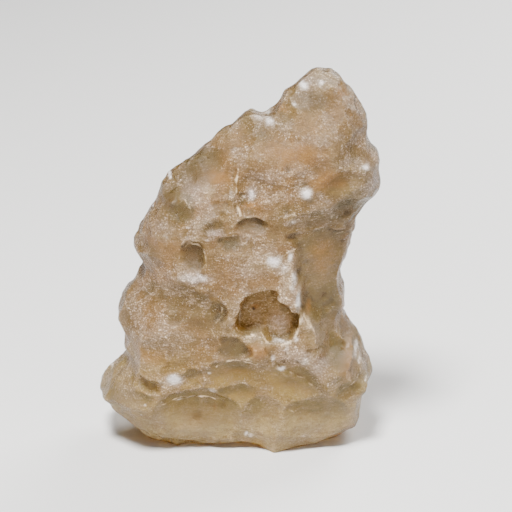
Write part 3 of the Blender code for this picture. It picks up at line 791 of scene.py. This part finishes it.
# heights in millimetres between which the glass turns honey-coloured, pale and smooth towards the foot; the
# honey and pale are a painted glow of light shining through the thin glass there
zones = {"honey": (20, 5), "foot": (9, 3), "smooth": (12, 4)}

# sizes in millimetres of the patterns in the glass, and for lines also how wide they are drawn
grain = {
    "speck": 0.2,
    "streak": 0.32,
    "patch": 1.8,
    "cloud": 3.2,
    "hue": 7.0,
    "grooves": (0.8, 0.03),
    "scratchGlints": (1.1, 0.02),
    "relief": 0.25,
    # the flow runs almost level through the stone, so its grain is drawn out along it
    "flowTurn": (0, 0.12, 0),
    "flowStretch": (0.4, 0.7, 1),
}

optics = {
    "bend": 1.46,
    "shine": 0.3,
    "clearRoughness": 0.25,
    "skinRoughness": 0.35,
    "skinScatter": 0.25,  # share of the skin's light that comes back from under it
    "scatterDepth": 0.5,
    "scatterReach": (1.0, 0.9, 0.7),
    "absorption": 130.0,
    "tintDepth": 0.7,  # how much deeper the clear glass is tinted than the skin
    # how much of the surface is skin: plain glass, frost, white mineral with a few painted glints, and pale
    # edges that are partly painted highlights
    "skinShares": (0.28, 0.6, 0.5, 0.4),
}


class Patterns:
    # the patterns that the layers of the glass share
    def __init__(self, f):
        sockets = {"Vector": f.place(), "Rotation": grain["flowTurn"], "Scale": grain["flowStretch"]}
        self.flow = f.node("ShaderNodeMapping", {}, sockets)
        self.height = f.node("ShaderNodeSeparateXYZ", {}, {0: f.place()}, out=2)
        self.speck = f.noise(grain["speck"], 2.0, 0.8)
        self.sugar = 0.55 * self.speck + 0.45 * f.noise(grain["streak"], 3.0, 0.75, at=self.flow)
        self.patch = f.noise(grain["patch"], 5.0, 0.7, at=self.flow)
        self.cloud = f.noise(grain["cloud"], 6.0, 0.6)
        # breaks up the edges of tints
        self.ragged = (self.sugar - 0.5) * 1.6 + (self.patch - 0.5) * 1.6

    def near(self, f, zone):
        above, below = zones[zone]
        return f.step(self.height, above * mm, below * mm)


def bodyColour(f, p):
    # olive in the hollows, partly as painted shade, with painted shade on faces turned down and on the
    # steep sides of bowls, pale on the bulges, honey and pale towards the foot as a painted glow, and
    # tinted in places
    body = f.mix(f.step(f.noise(grain["hue"], 3.0), 0.38, 0.62), glass["sand"], glass["rose"])
    # the hollows turn olive, partly the clear glass's own colour and partly painted shade
    body = f.mix(f.mask("dale") * 0.65, body, glass["olive"])
    body = f.mix(f.mask("low") * 0.65, body, glass["olive"])
    # towards the foot the colour turns honey and pale: a painted glow of light shining through the thin
    # glass
    body = f.mix(p.near(f, "honey") * 0.8, body, glass["honey"])
    body = f.mix(f.mask("honeyGlass") * 0.6, body, glass["honey"])
    body = f.mix(p.near(f, "foot") * 0.8, body, glass["foot"])
    body = f.mix(f.mask("oliveGlass") * 0.6, body, glass["olive"])
    # faces turned down are darkened towards olive: painted shade from the light above
    body = f.mix(f.step(f.mask("upward"), 0.5, 0.25) * 0.3, body, glass["olive"])
    body = f.mix(f.mask("hill") * 0.35, body, glass["cream"])
    body = f.mix(f.step(p.patch, 0.5, 0.38) * 0.4, body, glass["pit"], "MULTIPLY")
    for name in ("lavender", "cream", "amber", "olive", "brown"):
        spot = f.step(f.mask(name) + p.ragged * f.mask(name), 0.1, 0.9)
        body = f.mix(spot * (0.9 if name == "amber" else 0.85), body, glass[name])
    # the steep sides of the bowls get painted shade, mixed towards olive
    return f.mix(f.mask("paintedShadeGlass") * 0.7, body, glass["olive"])


def weathered(f, p, body):
    # lays haze, pores, painted shade in creases, grooves, frost, painted glints, pale edges that are partly
    # painted highlights, white mineral with a few painted glints and dirt over the body colour, and gives
    # the masks that the skin needs too. Clean, amber and brown glass and the foot weather less.
    clean = f.mask("oliveGlass").larger(f.mask("honeyGlass"))
    rough = (1 - 0.65 * clean) * (1 - 0.7 * f.mask("amber")) * (1 - 0.75 * f.mask("brown"))
    coarse = rough * (1 - 0.5 * p.near(f, "smooth"))
    haze = f.step(p.cloud, 0.49, 0.56) * coarse
    body = f.mix(haze * 0.4, body, glass["haze"])
    body = f.mix(f.step(p.sugar, 0.5, 0.38) * rough * 0.75, body, glass["pit"], "MULTIPLY")
    # painted shade darkens the fine creases
    body = f.mix(f.mask("crease") * 0.8, body, glass["pit"], "MULTIPLY")
    grooves = f.threads(*grain["grooves"], p.flow) * f.step(p.patch, 0.35, 0.5)
    body = f.mix(grooves * (0.3 + 0.7 * rough) * 0.65, body, glass["pit"], "MULTIPLY")
    thick = 0.15 + 0.35 * haze + 0.25 * f.step(p.patch, 0.42, 0.62)
    thick = thick + 0.25 * f.mask("high") + 0.3 * f.mask("lavender")
    frost = f.step(p.sugar, 0.51, 0.64) * thick * coarse + 0.35 * f.mask("rim") * f.step(p.patch, 0.4, 0.6)
    body = f.mix(frost, body, glass["frost"])
    # painted highlights: sparse bright glints and winding bright scratch lines
    scratchGlints = f.threads(*grain["scratchGlints"], p.flow) * f.step(p.cloud, 0.45, 0.55)
    glint = f.step(p.speck, 0.64, 0.72) * (0.3 + 0.7 * f.step(p.patch, 0.42, 0.6)) + 0.35 * scratchGlints
    body = f.mix(glint * coarse, body, glass["glint"])
    # pale edges along rims and lips: partly pale frosted edges, partly painted highlights
    edge = f.step(f.mask("paleGlass") + p.ragged * f.mask("paleGlass"), 0.15, 0.9)
    body = f.mix(edge, body, glass["edge"])
    # white mineral, and in a few tiny spots painted glints
    white = f.step(f.mask("white") + p.ragged * 1.1 * f.mask("white"), 0.04, 1.05)
    body = f.mix(white, body, glass["white"])
    return f.mix(f.step(f.mask("dirt"), 0.2, 0.7), body, glass["dirt"]), frost, white, edge


def frostedGlass():
    # clear tinted glass under a broken frosted skin
    f = Finish("frostedGlass")
    p = Patterns(f)
    body, frost, white, edge = weathered(f, p, bodyColour(f, p))
    relief = {"Strength": 1.0, "Distance": grain["relief"] * mm, "Height": p.sugar}
    bump = f.node("ShaderNodeBump", {}, relief)
    common = {"IOR": optics["bend"], "Specular IOR Level": optics["shine"], "Normal": bump}
    # light crosses the clear glass once and the frosted skin twice, so the clear glass is tinted deeper
    deep = f.mix(optics["tintDepth"], body, f.mix(1.0, body, body, "MULTIPLY"))
    clear = f.node("ShaderNodeBsdfPrincipled", {}, {
        "Base Color": deep, "Roughness": optics["clearRoughness"], "Transmission Weight": 1.0, **common})
    skin = f.node("ShaderNodeBsdfPrincipled", {}, {
        "Base Color": body, "Roughness": optics["skinRoughness"],
        "Subsurface Weight": optics["skinScatter"], "Subsurface Radius": optics["scatterReach"],
        "Subsurface Scale": optics["scatterDepth"] * mm, **common})
    plain, frosted, mineralAndGlint, pale = optics["skinShares"]
    grazing = f.node("ShaderNodeLayerWeight", {}, {"Blend": 0.5}, out=1)
    opaque = plain + frosted * frost + mineralAndGlint * white + pale * edge
    opaque = opaque * (1 - 0.7 * f.step(grazing, 0.5, 0.95))
    shader = f.node("ShaderNodeMixShader", {}, {0: opaque, 1: clear, 2: skin})
    depth = f.node("ShaderNodeVolumeAbsorption", {}, {
        "Color": (*glass["depth"], 1.0), "Density": optics["absorption"]})
    return finishEnd(f, shader, depth)


nodule = growSlab()
print("slab grown to", len(nodule.data.vertices), "corners")
calm = carve(nodule)
print("slab carved")
unfold(nodule)
scallop(nodule, calm)
unfold(nodule)
paintAll(nodule)
print("surface painted")
lighten(nodule)
grindFoot(nodule)
tintFront(nodule)
print("stone cut to", len(nodule.data.polygons), "triangles")
centre(nodule)
nodule.data.shade_smooth()
nodule.data.materials.append(frostedGlass())
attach(nodule, "root")
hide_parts("desert_glass")
print("stone finished")

studio = {
    "table": 3.0,  # metres across
    "gap": 0.05,  # keeps the table's face off the stone's flat foot
    "tableColour": (0.78, 0.77, 0.75),
    "tableRoughness": 0.6,
    "aim": (0, 0, 25),  # what the lights point at
    # place in millimetres, size in metres, watts
    "key": ((-50, -110, 310), 0.08, 3.1),
    "fill": ((240, -220, 120), 0.3, 0.35),
    "back": ((170, 230, 200), 0.2, 1.6),
    "sky": (0.9, 0.93, 1.0),
    "skyStrength": 0.12,
}


def setTable():
    flat = bmesh.new()
    bmesh.ops.create_grid(flat, x_segments=1, y_segments=1, size=studio["table"] / 2)
    bmesh.ops.translate(flat, verts=flat.verts[:], vec=(0, 0, -studio["gap"] * mm))
    mesh = bpy.data.meshes.new("table")
    flat.to_mesh(mesh)
    flat.free()
    table = bpy.data.objects.new("table", mesh)
    bpy.context.scene.collection.objects.link(table)
    f = Finish("paleTable")
    shader = f.node("ShaderNodeBsdfPrincipled", {}, {
        "Base Color": (*studio["tableColour"], 1.0), "Roughness": studio["tableRoughness"]})
    mesh.materials.append(finishEnd(f, shader))


def hangLight(name):
    place, size, watts = studio[name]
    lamp = bpy.data.lights.new(name, "AREA")
    lamp.energy = watts
    lamp.size = size
    hung = bpy.data.objects.new(name, lamp)
    bpy.context.scene.collection.objects.link(hung)
    hung.location = Vector(place) * mm
    hung.rotation_euler = (Vector(studio["aim"]) - Vector(place)).to_track_quat("-Z", "Y").to_euler()


def lightSky():
    world = bpy.data.worlds.new("sky")
    world.use_nodes = True
    world.node_tree.nodes["Background"].inputs["Color"].default_value = (*studio["sky"], 1.0)
    world.node_tree.nodes["Background"].inputs["Strength"].default_value = studio["skyStrength"]
    bpy.context.scene.world = world


view = {
    "down": 22.0,  # degrees
    "distance": 300.0,
    "span": 66.56,  # width of the frame at the stone
    "sensor": 36.0,
    "target": (2.405, 0.0, 25.4),
}


def setCamera():
    lens = bpy.data.cameras.new("camera")
    lens.sensor_width = view["sensor"]
    lens.lens = view["sensor"] / view["span"] * view["distance"]
    lens.clip_start = 0.01
    camera = bpy.data.objects.new("camera", lens)
    bpy.context.scene.collection.objects.link(camera)
    down = math.radians(view["down"])
    back = Vector((0, -math.cos(down), math.sin(down)))
    camera.location = (Vector(view["target"]) + back * view["distance"]) * mm
    camera.rotation_euler = (math.pi / 2 - down, 0, 0)
    bpy.context.scene.camera = camera


setTable()
for lightName in ("key", "fill", "back"):
    hangLight(lightName)
lightSky()
setCamera()
print("studio set")
